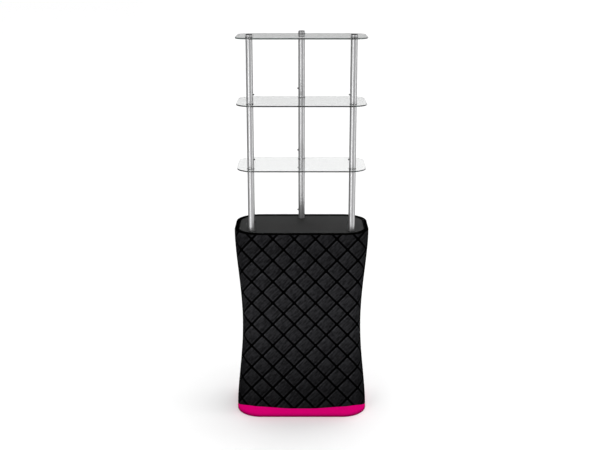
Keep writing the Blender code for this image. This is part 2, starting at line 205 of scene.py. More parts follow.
# Sockets, poles and spigots. The sockets and spigots are turned from steel and zinc plated; the sockets screw
# into the base board, and each spigot is pressed into what is below its post. The poles are plain anodised
# tube.
LEVELS = ("lower", "middle", "upper")
FACINGS = {"left": 1, "right": -1, "rear": -1}  # which way along X each column's snap buttons face
POSTS = [(level, post) for level in LEVELS for post in FACINGS]

plating = Finish("zinc_plated_steel")
turning = plating.noise(per_metre=1.0, at=plating.place((30, 30, 900)))
bloom = plating.noise(per_metre=160, detail=3.0)
PLATED_STEEL = plating.surface(
    {
        "Base Color": plating.mixed(bloom, grey(0.42, 1.06), grey(0.58, 1.02)),
        "Metallic": 1.0,
        "Roughness": bloom.between(0.30, 0.46),
        "Normal": plating.bump(turning, depth=0.00002, strength=0.4),
    }
)

anodising = Finish("satin_anodised_aluminium")
die_lines = anodising.noise(per_metre=1.0, detail=3.0, at=anodising.place((900, 900, 3)))
haze = anodising.noise(per_metre=35)
ANODISED = anodising.surface(
    {
        "Base Color": anodising.mixed(die_lines, grey(0.31, 1.01), grey(0.37, 1.01)),
        "Metallic": 0.8,
        "Specular Tint": grey(0.05),
        "Roughness": haze.between(0.24, 0.32) + die_lines.between(0, 0.04),
        "Normal": anodising.bump(die_lines, depth=0.00002, strength=0.35),
    }
)
dress(PLATED_STEEL, *(f"base_socket_{post}" for post in FACINGS))
dress(PLATED_STEEL, *(f"spigot_{level}_{post}" for level, post in POSTS))
dress(ANODISED, *(f"pole_{post}" for post in FACINGS))


# Hook tape. Black nylon tape glued round the edge of both boards, with rows of fine hooks that grip the back
# of the stretch fabric.
HOOKS_PER_METRE = 900

hooks = Finish("black_hook_tape")
hook_rows = hooks.node("ShaderNodeTexVoronoi", {}, {"Vector": hooks.place(), "Scale": HOOKS_PER_METRE})
HOOK_TAPE = hooks.surface(
    {
        "Base Color": hooks.mixed(hook_rows, grey(0.030), grey(0.006)),
        "Roughness": 0.75,
        "Normal": hooks.bump(hook_rows, depth=0.0006),
    }
)
dress(HOOK_TAPE, "top_hook_strip", "base_hook_strip")


# Fabric cover. A sleeve of polyester stretch fabric, printed all over with diamonds and cut with a plain band
# at its foot. It is pulled over the boards, so tension draws its rounded ends in, and its hem laps over the
# counter's edge.
BODY_CORNER = 0.125
WAIST_DRAW = 0.0325
WAIST_POWER = 1.58
CLOTH_THICKNESS = 0.0014
HEM_ROUND = 0.006
HEM_WIDTH = 0.0225
HEM_CROWN = 0.0004
HEM_GROOVE = 0.0006
HEM_GROOVE_POWER = 6
BEAD_WIDTH = 0.004
BEAD_RISE = 0.0006
HEM_GAP = 0.0004
FOOT_HEM = 0.014
FOOT_HEM_PROUD = 0.0005
FOOT_HEM_FADE_SHARE = 0.25
FOOT_ROWS_TOP = FOOT_HEM * 1.5
SEAM_DEPTH = 0.0009
SEAM_WIDTH = 0.0016
SEAM_COLUMN_SHARES = np.array([0, 0.25, 0.5, 0.75, 1, 1.5])
ZIP_SLIT = 0.006
ZIP_SLIT_END = 0.008
ZIP_SLIT_REACH = 5 * ZIP_SLIT
COLUMN_STEP = 0.0062
ROW_STEP = 0.0082
FOOT_ROWS, TURN_ROWS, CROSS_ROWS, BEAD_ROWS, DROP_ROWS = 10, 9, 7, 11, 5
WELD = 0.000002

cover_low, cover_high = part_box("fabric_cover")
counter_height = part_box("top_board")[1].z
base_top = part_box("base_board")[1].z
top_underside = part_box("top_board")[0].z
zip_low, zip_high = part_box("zip_tape")
hem_top = cover_high.z - BEAD_RISE


def stacked(*values):
    """Values spread to one shape and set side by side, as points' coordinates."""
    return np.stack(np.broadcast_arrays(*values), axis=-1)


def round_walk(walk, half_x, half_y, corner):
    """Where a walk round a rounded rectangle has got to, and the outward direction there.

    It starts in the middle of the +Y side and goes anticlockwise. The corner circle's centre slides along
    each flat and stands still while the normal swings a quarter turn, so both are broken lines in the
    distance walked.
    """
    flat_x, flat_y, arc = half_x - corner, half_y - corner, corner * math.pi / 2
    legs = [0, flat_x, arc, 2 * flat_y, arc, 2 * flat_x, arc, 2 * flat_y, arc, flat_x]
    stops = np.cumsum(legs)
    walked = walk * stops[-1]
    angle = np.interp(walked, stops, np.radians([90, 90, 180, 180, 270, 270, 360, 360, 450, 450]))
    centre_x = flat_x * np.interp(walked, stops, [0, -1, -1, -1, -1, 1, 1, 1, 1, 0])
    centre_y = flat_y * np.interp(walked, stops, [1, 1, 1, -1, -1, -1, -1, 1, 1, 1])
    return stacked(centre_x, centre_y), stacked(np.cos(angle), np.sin(angle)), stops[-1]


def waist_draw(height):
    """How far the ends are drawn in: a sine arch between the boards, sharpened by a power."""
    share = np.clip((height - base_top) / (top_underside - base_top), 0, 1)
    arch = np.sin(np.pi * share).clip(0)
    return WAIST_DRAW * arch**WAIST_POWER


def sleeve(walk, inset, height):
    """Points on the sleeve, and the level normals there.

    Each point of the outline moves in along its normal by the inset and by the waist's draw times the square
    of how far the normal faces sideways, so the front and the back stay flat.
    """
    centre, normal, _ = round_walk(walk, cover_high.x, cover_high.y, BODY_CORNER)
    reach = BODY_CORNER - inset - waist_draw(height) * normal[..., 0] ** 2
    level = centre + reach[..., None] * normal
    points = np.concatenate([level, np.broadcast_to(height, reach.shape)[..., None]], axis=-1)
    normals = np.concatenate([normal, np.zeros(normal.shape[:-1] + (1,))], axis=-1)
    return points, np.broadcast_to(normals, points.shape)


def net(points, round_rows=False, round_columns=False):
    """Points and four-sided faces of a grid. It faces the way of its columns crossed with its rows."""
    rows, columns = points.shape[:2]
    index = np.arange(rows * columns).reshape(rows, columns)
    if round_rows:
        index = np.vstack([index, index[:1]])
    if round_columns:
        index = np.hstack([index, index[:, :1]])
    faces = stacked(index[:-1, :-1], index[:-1, 1:], index[1:, 1:], index[1:, :-1])
    return points.reshape(-1, 3), faces.reshape(-1, 4)


def weld(mesh, turn_outwards=False):
    """Merges the points that meet and drops those on no face. It can turn the faces outwards too."""
    skin = bmesh.new()
    skin.from_mesh(mesh)
    bmesh.ops.remove_doubles(skin, verts=skin.verts[:], dist=WELD)
    bmesh.ops.delete(skin, geom=[vert for vert in skin.verts if not vert.link_faces], context="VERTS")
    if turn_outwards:
        bmesh.ops.recalc_face_normals(skin, faces=skin.faces[:])
    skin.to_mesh(mesh)
    skin.free()


def placed(name, data):
    """A new object in the scene for a mesh, a curve, a light or a camera."""
    made = bpy.data.objects.new(name, data)
    bpy.context.scene.collection.objects.link(made)
    return made


def piece(name, nets, material, body="podium", maps=None):
    """One object from its nets, welded where they meet, that rides on a body and takes the slot's finish."""
    starts = np.cumsum([0] + [len(points) for points, faces in nets[:-1]])
    points = np.concatenate([points for points, faces in nets])
    faces = np.concatenate([faces + start for (_, faces), start in zip(nets, starts)])
    mesh = bpy.data.meshes.new(name)
    mesh.from_pydata(points.tolist(), [], faces.tolist())
    for label, values in (maps or {}).items():
        layer = mesh.uv_layers.new(name=label)
        layer.data.foreach_set("uv", values.reshape(-1, 2)[faces.ravel()].ravel().astype(np.float32))
    weld(mesh)
    mesh.shade_smooth()
    mesh.materials.append(material)
    made = placed(name, mesh)
    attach(made, body)
    return made


def thickened(made, thickness):
    """Gives a sheet its thickness, inwards from its face."""
    wall = made.modifiers.new("thickness", "SOLIDIFY")
    wall.thickness = thickness
    wall.offset = -1
    return made


def hem_profile():
    """Inset and height from the foot to the inner edge of the hem, in arcs.

    The wall stands on the foot's folded hem, turns in by a quarter circle, crowns a little as it crosses the
    board's edge, dips at the stitching, rises in half an ellipse over the elastic, and drops to the board.
    """
    wall_top = hem_top - HEM_ROUND
    foot = np.linspace(cover_low.z, FOOT_ROWS_TOP, FOOT_ROWS)
    wall = np.linspace(FOOT_ROWS_TOP, wall_top, round(wall_top / ROW_STEP))[1:]
    turn = np.linspace(0, math.pi / 2, TURN_ROWS)[1:]
    cross = np.linspace(0, 1, CROSS_ROWS)[1:]
    over = np.linspace(0, math.pi, BEAD_ROWS)[1:]
    drop = np.linspace(hem_top - HEM_GROOVE, counter_height + HEM_GAP, DROP_ROWS)[1:]
    bead = HEM_WIDTH - BEAD_WIDTH
    inset = [
        -FOOT_HEM_PROUD * (1 - np.clip((foot / FOOT_HEM - 1) / FOOT_HEM_FADE_SHARE, 0, 1)),
        0 * wall,
        HEM_ROUND * (1 - np.cos(turn)),
        HEM_ROUND + (bead - HEM_ROUND) * cross,
        bead + BEAD_WIDTH / 2 * (1 - np.cos(over)),
        HEM_WIDTH + 0 * drop,
    ]
    height = [
        foot,
        wall,
        wall_top + HEM_ROUND * np.sin(turn),
        hem_top + HEM_CROWN * np.sin(np.pi * cross) - HEM_GROOVE * cross**HEM_GROOVE_POWER,
        hem_top + (BEAD_RISE + HEM_GROOVE) * np.sin(over) - HEM_GROOVE,
        drop,
    ]
    return np.concatenate(inset), np.concatenate(height)


outline_length = round_walk(np.zeros(1), cover_high.x, cover_high.y, BODY_CORNER)[2]
near_seam = SEAM_COLUMN_SHARES * SEAM_WIDTH
half_round = np.linspace(COLUMN_STEP, outline_length / 2, round(outline_length / 2 / COLUMN_STEP))
half_walk = np.concatenate([near_seam, half_round]) / outline_length
walk = np.concatenate([half_walk, 1 - half_walk[-2::-1]])[None, :]
inset, height = (values[:, None] for values in hem_profile())

# The seam up the back rolls in, and its two edges part behind the zip.
from_seam = np.minimum(walk, 1 - walk) * outline_length
seam = SEAM_DEPTH * (1 - np.clip(from_seam / SEAM_WIDTH, 0, 1)) ** 2
slit_low, slit_high = zip_low.z + ZIP_SLIT_END, zip_high.z - ZIP_SLIT_END
slit_end = np.minimum(height - slit_low, slit_high - height)
slit = ZIP_SLIT / 2 * np.sin(np.pi / 2 * np.clip(slit_end / ZIP_SLIT_END, 0, 1))
cloth_points, _ = sleeve(walk, inset + seam, height)
cloth_points[..., 0] -= slit * np.clip(1 - from_seam / ZIP_SLIT_REACH, 0, 1) * np.sign(0.5 - walk)

# The cloth's own map is in metres: across from the middle of the front, and up from the foot.
steps = np.linalg.norm(np.diff(cloth_points, axis=1), axis=-1)
across = np.pad(np.cumsum(steps, axis=1), ((0, 0), (1, 0)))
across -= across[:, [walk.size // 2]]
climb = np.hypot(np.diff(inset, axis=0), np.diff(height, axis=0))
up = cover_low.z + np.pad(np.cumsum(climb, axis=0), ((1, 0), (0, 0)))
cloth_map = stacked(across, up)

# The print's diamonds, measured at the middle of the height. They stretch a little wider and taller to the
# foot. Round the drawn-in ends, where the cloth is pulled hardest, they spread wider and hang lower.
DIAMOND_WIDTH = 0.1059
DIAMOND_HEIGHT = 0.1129
DIAMOND_START_ACROSS = 0.0164
DIAMOND_START_UP = 0.4499
STRETCH_MIDDLE = 0.51
STRETCH_ACROSS_SHARE = 0.0535
STRETCH_UP_SHARE = 0.1036
END_SPREAD_SHARE = 0.75
END_DIP_FOOT_SHARE = 0.49
END_DIP_TOP_SHARE = 0.31
END_DIP_REACH = 0.085


def turned_back(y):
    """How far the cloth has gone round an end from the flat of the front or back, levelled off by a tanh."""
    return END_DIP_REACH * np.tanh((cover_high.y - np.abs(y)) / END_DIP_REACH)


def diamonds_up(height):
    """How many diamonds lie below a height: steps that grow evenly on the way down sum to a logarithm."""
    growth = 1 + STRETCH_UP_SHARE * (STRETCH_MIDDLE - height)
    return -np.log(growth) / (STRETCH_UP_SHARE * DIAMOND_HEIGHT)


print_steps = np.maximum(np.abs(np.diff(cloth_points[..., 0], axis=1)), END_SPREAD_SHARE * steps)
print_across = np.pad(np.cumsum(print_steps, axis=1), ((0, 0), (1, 0)))
print_across -= print_across[:, [walk.size // 2]]
dip_share = END_DIP_FOOT_SHARE + (END_DIP_TOP_SHARE - END_DIP_FOOT_SHARE) * up / counter_height
print_up = up + dip_share * turned_back(cloth_points[..., 1])
wider = 1 + STRETCH_ACROSS_SHARE * (STRETCH_MIDDLE - print_up)
diamond_u = (print_across - DIAMOND_START_ACROSS) / (DIAMOND_WIDTH * wider)
diamond_v = diamonds_up(print_up) - diamonds_up(np.array(DIAMOND_START_UP))
diamond_map = stacked(diamond_u, diamond_v)

# The print's inks. Each diamond is a soft cushion between black lines: worn in streaks, mottles and grain,
# with glints and a crease along its edges. A mark's numbers are its strength, and the middle and half width
# of its line as shares of the cushion.
LINE_COLOUR = grey(0.0003)
PRINT_PALE = grey(0.0365, 1.09)
PRINT_STRENGTH = 0.405
LINE_SHARE = 0.128
PUFF_FOOT, PUFF_TOP = 0.78, 1.23
STREAKS_ACROSS, STREAKS_ALONG = 9, 2
LEAST_WORN, MOTTLE_WEAR, STREAK_WEAR, GRAIN_WEAR = 0.34, 0.34, 0.58, 0.26
TOP_GLINT = (0.62, 0.11, 0.07)
LEFT_GLINT = (0.20, 0.13, 0.07)
FOOT_GLINT = (0.30, 0.87, 0.04)
GLINT_LEAST, GLINT_MOST, GLINT_AT_FOOT, GLINT_AT_TOP = 0.25, 1.25, 1.6, 0.8
CREASE = (0.25, 0.79, 0.05)

# Painted shade darkens the print towards the foot and round the ends, and the print is darker near the top.
# Round an end, places are distances from the middle of the front or the back.
PAINTED_SHADE_AT_FOOT, FOOT_SHADE_LOW, FOOT_SHADE_HIGH = 0.45, -0.02, 0.60
TOP_DARKENING, TOP_DARKEN_LOW, TOP_DARKEN_HIGH = 0.25, 0.60, 0.95
PAINTED_SHADE_AT_ENDS, END_SHADE_START, END_SHADE_END = 0.70, 0.24, 0.36
HEM_BLACK = grey(0.0008)
PRINT_TOP = 0.968
PRINT_TOP_SOFT = 0.0005

# The plain band is lowest in the middle of the front, rises to the corners and narrows round the ends.
BAND_TOP = 0.0474
BAND_LIFT = 0.0115
BAND_LIFT_START, BAND_LIFT_END = 0.04, 0.24
BAND_DROP = 0.036
BAND_DROP_START, BAND_DROP_END = 0.25, 0.42
BAND_SOFT = 0.0015
# The band takes painted shade over its lowest stretch, darkest at the floor.
BAND_SHADE_HEIGHT = 0.024
BAND_COLOUR = (0.555, 0.0004, 0.133, 1.0)
BAND_PAINTED_SHADE_COLOUR = (0.17, 0.0001, 0.045, 1.0)
KNIT_ACROSS, KNIT_UP, KNIT_DEPTH = 0.0009, 0.0008, 0.0002


def mark(place, strength, middle, half_width):
    """A soft line along a cushion: a ridge across its place, times its strength."""
    return strength * place.ridge(middle, half_width)


fabric = Finish("printed_stretch_fabric")
cloth_at = fabric.node("ShaderNodeUVMap", {"uv_map": "cloth"}, {})
diamond_at = fabric.node("ShaderNodeUVMap", {"uv_map": "diamonds"}, {})
cloth_x, cloth_y = cloth_at.part(0), cloth_at.part(1)
rising = diamond_at.part(0) + diamond_at.part(1)
falling = diamond_at.part(0) - diamond_at.part(1)
from_left = rising.fraction()
from_top = falling.fraction()
line = from_left.ridge(0, LINE_SHARE) + from_left.ridge(1, LINE_SHARE)
line = line + from_top.ridge(0, LINE_SHARE) + from_top.ridge(1, LINE_SHARE)
line = line.rise(0.25, 0.75)
crossed = {"X": STREAKS_ACROSS * falling, "Y": STREAKS_ALONG * rising}
crossed = fabric.node("ShaderNodeCombineXYZ", {}, crossed)
streak = fabric.noise(per_metre=1.0, detail=3.0, at=crossed).rise(0.34, 0.66)
mottle = fabric.noise(per_metre=70, at=cloth_at).rise(0.32, 0.68)
grain = fabric.noise(per_metre=420, at=cloth_at).rise(0.25, 0.75)
puff = from_top.between(PUFF_TOP, PUFF_FOOT)
glint = mark(from_top, *TOP_GLINT) + mark(from_left, *LEFT_GLINT) + mark(from_top, *FOOT_GLINT)
glint = glint * mottle.between(GLINT_LEAST, GLINT_MOST) * cloth_y.between(GLINT_AT_FOOT, GLINT_AT_TOP)
worn = LEAST_WORN + MOTTLE_WEAR * mottle + STREAK_WEAR * streak + GRAIN_WEAR * grain
worn = worn - mark(from_top, *CREASE)
quarter = outline_length / 4
round_end = quarter - (cloth_x.size() - quarter).size()
# painted shade towards the foot and round the ends, and darker near the top
painted_foot_shade = cloth_y.rise(FOOT_SHADE_LOW, FOOT_SHADE_HIGH).between(PAINTED_SHADE_AT_FOOT, 1)
painted_height_shade = painted_foot_shade - cloth_y.rise(TOP_DARKEN_LOW, TOP_DARKEN_HIGH).between(0, TOP_DARKENING)
painted_end_shade = round_end.rise(END_SHADE_START, END_SHADE_END).between(1, PAINTED_SHADE_AT_ENDS)
tone = PRINT_STRENGTH * (puff * worn + glint) * painted_height_shade * painted_end_shade * (1 - line)
printed = fabric.mixed(tone, LINE_COLOUR, PRINT_PALE)
above_print = cloth_y.rise(PRINT_TOP - PRINT_TOP_SOFT, PRINT_TOP + PRINT_TOP_SOFT)
printed = fabric.mixed(above_print, printed, HEM_BLACK)
lift = BAND_LIFT * round_end.rise(BAND_LIFT_START, BAND_LIFT_END)
drop = BAND_DROP * round_end.rise(BAND_DROP_START, BAND_DROP_END)
above_band = cloth_y - BAND_TOP - lift + drop
# painted shade: the band darkens towards the floor
band = fabric.mixed(cloth_y.rise(0, BAND_SHADE_HEIGHT), BAND_PAINTED_SHADE_COLOUR, BAND_COLOUR)
coloured = fabric.mixed(above_band.rise(-BAND_SOFT, BAND_SOFT), band, printed)
knit = cloth_x.wave(KNIT_ACROSS) * cloth_y.wave(KNIT_UP)
PRINTED_FABRIC = fabric.surface(
    {
        "Base Color": coloured,
        "Roughness": grain.between(0.74, 0.84),
        "Specular IOR Level": 0.0,
        "Normal": fabric.bump(knit, depth=KNIT_DEPTH, strength=0.25),
    }
)
cloth_maps = {"cloth": cloth_map, "diamonds": diamond_map}
cover = piece("fabric_sleeve", [net(cloth_points)], PRINTED_FABRIC, maps=cloth_maps)
thickened(cover, CLOTH_THICKNESS)
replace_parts(cover, "fabric_cover")

# Thread. Each stitch is a small spindle laid along the row.
STITCH_PITCH = 0.0032
STITCH_LENGTH = 0.0024
STITCH_RADIUS = 0.00026
STITCH_RINGS, STITCH_SIDES = 5, 6
RIGHT, LEFT, BACKWARD, UP = (1, 0, 0), (-1, 0, 0), (0, 1, 0), (0, 0, 1)
AHEAD_SHARE = 0.2
FOOT_STITCH_SHARE = 0.9


def stitches(centres, along, out, length=STITCH_LENGTH, radius=STITCH_RADIUS):
    """A net for each stitch: a circle carried along the row, whose radius is the root of the cosine."""
    centres, along, out = np.broadcast_arrays(centres, along, out)
    swing = np.linspace(-math.pi / 2, math.pi / 2, STITCH_RINGS)[None, :, None, None]
    turn = np.linspace(0, 2 * math.pi, STITCH_SIDES, endpoint=False)[None, None, :, None]
    side = np.cross(along, out)
    centres, along, out, side = (value[:, None, None, :] for value in (centres, along, out, side))
    ring = np.sqrt(np.cos(swing).clip(0)) * radius * (np.cos(turn) * out - np.sin(turn) * side)
    points = centres + along * np.sin(swing) * length / 2 + ring
    return [net(each, round_columns=True) for each in points]


def stitch_round(inset, height):
    """Places, directions and outward normals of a row of stitches round the sleeve."""
    count = round(outline_length / STITCH_PITCH)
    at = (np.arange(count) + 0.5) / count
    inset, height = np.full(count, inset), np.full(count, height)
    points, normals = sleeve(at, inset, height)
    ahead, _ = sleeve(at + AHEAD_SHARE / count, inset, height)
    along = (ahead - points) / np.linalg.norm(ahead - points, axis=-1, keepdims=True)
    return points, along, normals


def thread(name, colour):
    """The finish of a thread: its colour broken with black by a fine noise."""
    twist = Finish(name)
    thread_fleck = twist.noise(per_metre=2600)
    return twist.surface({"Base Color": twist.mixed(thread_fleck, grey(0), colour), "Roughness": 0.55})


BLACK_THREAD = thread("black_thread", grey(0.02))
BAND_THREAD = thread("band_thread", (0.75, 0.002, 0.20, 1.0))
hem_row, hem_along, _ = stitch_round(HEM_WIDTH - BEAD_WIDTH, hem_top - HEM_GROOVE / 2)
hem_stitching = piece("hem_stitching", stitches(hem_row, hem_along, UP), BLACK_THREAD)
foot_inset = -FOOT_HEM_PROUD - STITCH_RADIUS / 4
foot_stitches = stitches(*stitch_round(foot_inset, FOOT_HEM * FOOT_STITCH_SHARE))
foot_stitching = piece("foot_stitching", foot_stitches, BAND_THREAD)


# Zip. A coil zip up the back, which opens the sleeve so that it can be pulled off. Two woven tapes are sewn
# to the fabric, each with a nylon coil on its inner edge; a lacquered slider locks the coils, and its pull
# hangs down.
TAPE_THICKNESS = 0.0008
TAPE_INNER = 0.0012
TAPE_WAVE = 0.00008
TAPE_WAVE_PITCH = 0.055
TAPE_STITCH_INSET = 0.0022
TAPE_ROWS, TAPE_COLUMNS = 211, 9
TWILL_PITCH = 0.0012
COIL_PITCH = 0.0016
COIL_HALF_WIDTH = 0.0030
COIL_CROSSING = 0.0005
COIL_RADIUS = 0.0005
COIL_RISE = 0.0004
COIL_END = 0.006
PLATE_POINTS = 64

tape_face = zip_low.y + TAPE_THICKNESS
tape_half = zip_high.x
tape_length = zip_high.z - zip_low.z
tape_z = np.linspace(zip_low.z, zip_high.z, TAPE_ROWS)[:, None]
tapes = []
for side, first, last in ((1, tape_half, TAPE_INNER), (-1, -TAPE_INNER, -tape_half)):
    tape_x = np.linspace(first, last, TAPE_COLUMNS)[None, :]
    ripple = TAPE_WAVE * np.sin(tape_z * 2 * math.pi / TAPE_WAVE_PITCH + side) * np.abs(tape_x) / tape_half
    tape_y = tape_face - TAPE_WAVE + ripple
    tapes.append(net(stacked(tape_x, tape_y, tape_z)))

weave = Finish("woven_zip_tape")
weave_at = weave.place()
weave_x, weave_z = weave_at.part(0), weave_at.part(2)
twill = (weave_x + weave_z).wave(TWILL_PITCH) + (weave_x - weave_z).wave(TWILL_PITCH)
fuzz = weave.noise(per_metre=900, at=weave_at)
WOVEN_TAPE = weave.surface(
    {
        "Base Color": weave.mixed(fuzz, grey(0.006), grey(0.016)),
        "Roughness": fuzz.between(0.68, 0.80),
        "Specular IOR Level": 0.12,
        "Normal": weave.bump(twill, depth=0.0001, strength=0.4),
    }
)
zip_tapes = thickened(piece("zip_tapes", tapes, WOVEN_TAPE), TAPE_THICKNESS - TAPE_WAVE)
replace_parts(zip_tapes, "zip_tape")

nylon = Finish("black_nylon_coil")
wear = nylon.noise(per_metre=300)
NYLON = nylon.surface(
    {"Base Color": nylon.mixed(wear, grey(0.012), grey(0.024)), "Roughness": wear.between(0.34, 0.46)}
)

# The two coils' turns lie half a pitch apart and cross a little in the middle.
coil_count = int((tape_length - 2 * COIL_END) / COIL_PITCH)
stitch_count = int(tape_length / STITCH_PITCH)
stitch_z = zip_low.z + STITCH_PITCH * (np.arange(stitch_count) + 0.5)
coil_nets, tape_rows = [], []
for side in (1, -1):
    coil_z = zip_low.z + COIL_END + COIL_PITCH * (np.arange(coil_count) + 0.25 + 0.25 * side)
    coil_row = stacked(side * (COIL_HALF_WIDTH - COIL_CROSSING) / 2, tape_face + COIL_RISE, coil_z)
    coil_nets += stitches(coil_row, RIGHT, BACKWARD, COIL_HALF_WIDTH + COIL_CROSSING, COIL_RADIUS)
    stitch_row = stacked(side * (tape_half - TAPE_STITCH_INSET), tape_face, stitch_z)
    tape_rows += stitches(stitch_row, UP, BACKWARD)
piece("zip_coil", coil_nets, NYLON)
piece("tape_stitching", tape_rows, BLACK_THREAD)


def plate(half_x, half_y, corner, profile):
    """A rounded slab: a (inset, height) profile carried round its outline, from the underside to the top.

    A profile point whose inset is None lies on the slab's spine, where the two halves meet.
    """
    at = np.linspace(0, 1, PLATE_POINTS, endpoint=False)
    centre, normal, _ = round_walk(at, half_x, half_y, corner)
    rows = []
    for inset, level in profile:
        ring = centre * [1, 0] if inset is None else centre + (corner - inset) * normal
        rows.append(np.column_stack([ring, np.full(len(at), level)]))
    return net(np.array(rows), round_columns=True)


def eased_edge(half_thickness, ease):
    """The profile of a slab whose edges are eased by a 45 degree flat."""
    low, high = -half_thickness, half_thickness
    return [(None, low), (ease, low), (0, low + ease), (0, high - ease), (ease, high), (None, high)]


def turned(profile, sides, closed=False):
    """Radius and height points carried round an axis. The outside of a profile runs up."""
    turn = np.linspace(0, 2 * math.pi, sides, endpoint=False)
    radius, height = np.array(profile).T[:, :, None]
    points = stacked(radius * np.cos(turn), radius * np.sin(turn), height)
    return net(points, round_rows=closed, round_columns=True)


def laid(shape, origin, first=RIGHT, second=BACKWARD, third=UP):
    """A net moved so that its X, Y and Z lie along three directions from an origin."""
    points, faces = shape
    return points @ np.array([first, second, third], float) + np.array(origin, float), faces


def even_shading(made):
    """Large flats keep their own normals, and only the eased edges between them shade round."""
    made.modifiers.new("even", "WEIGHTED_NORMAL")
    return made


LACQUER_EASE = 0.0003
FINE_EASE = 0.0002
SLIDER_CORNER = 0.0022
PLATE_THICKNESS = 0.0012
PLATE_UNDER_PIN = 0.0022
SKIRT_HALF_WIDTH = 0.00075
SKIRT_SETBACK = 0.0012
SKIRT_CORNER = 0.0006
LUG_HALF = 0.0020
LUG_CORNER = 0.0016
LUG_UNDER_PIN = 0.0006
LUG_HALF_THICKNESS = 0.0006
LUG_GAP = 0.0003
PIN_RADIUS = 0.0007
PIN_PROUD = 0.0001
PIN_SIDES = 24
KNUCKLE_HALF = 0.0014
PULL_KNUCKLE = 0.0018
slider_low, slider_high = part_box("zip_slider")
pull_low, pull_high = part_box("zip_pull")
slider_length = slider_high.z - slider_low.z
pin_y = (pull_low.y + pull_high.y) / 2
pin_z = pull_high.z - PULL_KNUCKLE

lacquer = Finish("black_lacquered_zinc")
scuff = lacquer.noise(per_metre=700, detail=4.0)
LACQUER = lacquer.surface(
    {
        "Base Color": lacquer.mixed(scuff.rise(0.62, 0.8), grey(0.028), grey(0.09)),
        "Metallic": 0.8,
        "Roughness": scuff.between(0.28, 0.48),
        "Coat Weight": 0.3,
    }
)

# The slider: a plate, a skirt down each side of it, and two lugs that hold the pull's pin.
plate_half = PLATE_THICKNESS / 2
plate_face = pin_y - PLATE_UNDER_PIN
shell_half_x = (slider_high.x - slider_low.x) / 2
shell = plate(shell_half_x, slider_length / 2, SLIDER_CORNER, eased_edge(plate_half, LACQUER_EASE))
slider_nets = [laid(shell, (0, plate_face - plate_half, pin_z), LEFT, UP, BACKWARD)]
skirt_half = (plate_face - plate_half - slider_low.y) / 2
skirt_edge = eased_edge(skirt_half, FINE_EASE)
skirt = plate(SKIRT_HALF_WIDTH, slider_length / 2 - SKIRT_SETBACK, SKIRT_CORNER, skirt_edge)
lug = plate(LUG_HALF, LUG_HALF, LUG_CORNER, eased_edge(LUG_HALF_THICKNESS, FINE_EASE))
for side in (1, -1):
    skirt_x = side * (shell_half_x - SKIRT_HALF_WIDTH)
    slider_nets.append(laid(skirt, (skirt_x, slider_low.y + skirt_half, pin_z), LEFT, UP, BACKWARD))
    lug_x = side * (KNUCKLE_HALF + LUG_GAP + LUG_HALF_THICKNESS)
    slider_nets.append(laid(lug, (lug_x, pin_y - LUG_UNDER_PIN, pin_z), BACKWARD, UP, RIGHT))
pin_half = KNUCKLE_HALF + LUG_GAP + 2 * LUG_HALF_THICKNESS + PIN_PROUD
pin_profile = [(0, -pin_half), (PIN_RADIUS, -pin_half), (PIN_RADIUS, pin_half), (0, pin_half)]
slider_nets.append(laid(turned(pin_profile, PIN_SIDES), (0, pin_y, pin_z), BACKWARD, UP, RIGHT))
slider = even_shading(piece("slider_body", slider_nets, LACQUER, body="slider"))
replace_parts(slider, "zip_slider")

# The pull: a tab with a raised rim, a neck, and a knuckle round the pin.
PULL_THICKNESS = 0.0012
PULL_NECK = 0.0048
PULL_RIM = 0.0011
PULL_HOLLOW = 0.00022
PULL_GAP = 0.0002
TAB_CORNER = 0.0032
TAB_OVER_NECK = 0.0006
NECK_SUNK = 0.0012
NECK_CORNER = 0.0004
NECK_TOP_SHARE = 0.75
pull_half_x = (pull_high.x - pull_low.x) / 2
pull_half = PULL_THICKNESS / 2
hollow = -pull_half + PULL_HOLLOW
tab_high = pin_z - PULL_NECK + TAB_OVER_NECK
tab_profile = [(None, hollow), (PULL_RIM + LACQUER_EASE, hollow), (PULL_RIM, -pull_half)]
tab_profile += [(LACQUER_EASE, -pull_half), (0, -pull_half + LACQUER_EASE)]
tab_profile += [(inset, -level) for inset, level in tab_profile[::-1]]
tab = plate(pull_half_x, (tab_high - pull_low.z) / 2, TAB_CORNER, tab_profile)
neck_low, neck_high = tab_high - NECK_SUNK, pin_z - PULL_KNUCKLE * NECK_TOP_SHARE
neck = plate(KNUCKLE_HALF, (neck_high - neck_low) / 2, NECK_CORNER, eased_edge(pull_half, FINE_EASE))
knuckle = [(PIN_RADIUS + PULL_GAP, -KNUCKLE_HALF), (PULL_KNUCKLE - LACQUER_EASE, -KNUCKLE_HALF)]
knuckle += [(PULL_KNUCKLE, -KNUCKLE_HALF + LACQUER_EASE)]
knuckle += [(radius, -level) for radius, level in knuckle[::-1]]
pull_nets = [
    laid(tab, (0, pin_y, (tab_high + pull_low.z) / 2), LEFT, UP, BACKWARD),
    laid(neck, (0, pin_y, (neck_low + neck_high) / 2), LEFT, UP, BACKWARD),
    laid(turned(knuckle, PIN_SIDES, closed=True), (0, pin_y, pin_z), BACKWARD, UP, RIGHT),
]
pull = piece("pull_tab", pull_nets, LACQUER, body="pull")
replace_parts(even_shading(pull), "zip_pull")


# Posts. Aluminium tube, sawn, deburred and satin anodised, with one round hole near the foot where the snap
# button comes through. Each drops over a spigot and stands on the counter or on a grommet.
POST_WALL = 0.002
POST_SIDES = 96
POST_FOOT_ROW = 0.002
POST_TOP_ROWS = 8
BUTTON_RISE = 0.044
BUTTON_HOLE = 0.0045
HOLE_COLUMNS = 4
BLEND_COLUMNS = 10
DEBURR = 0.0003
DEBURR_ANGLE = math.radians(50)


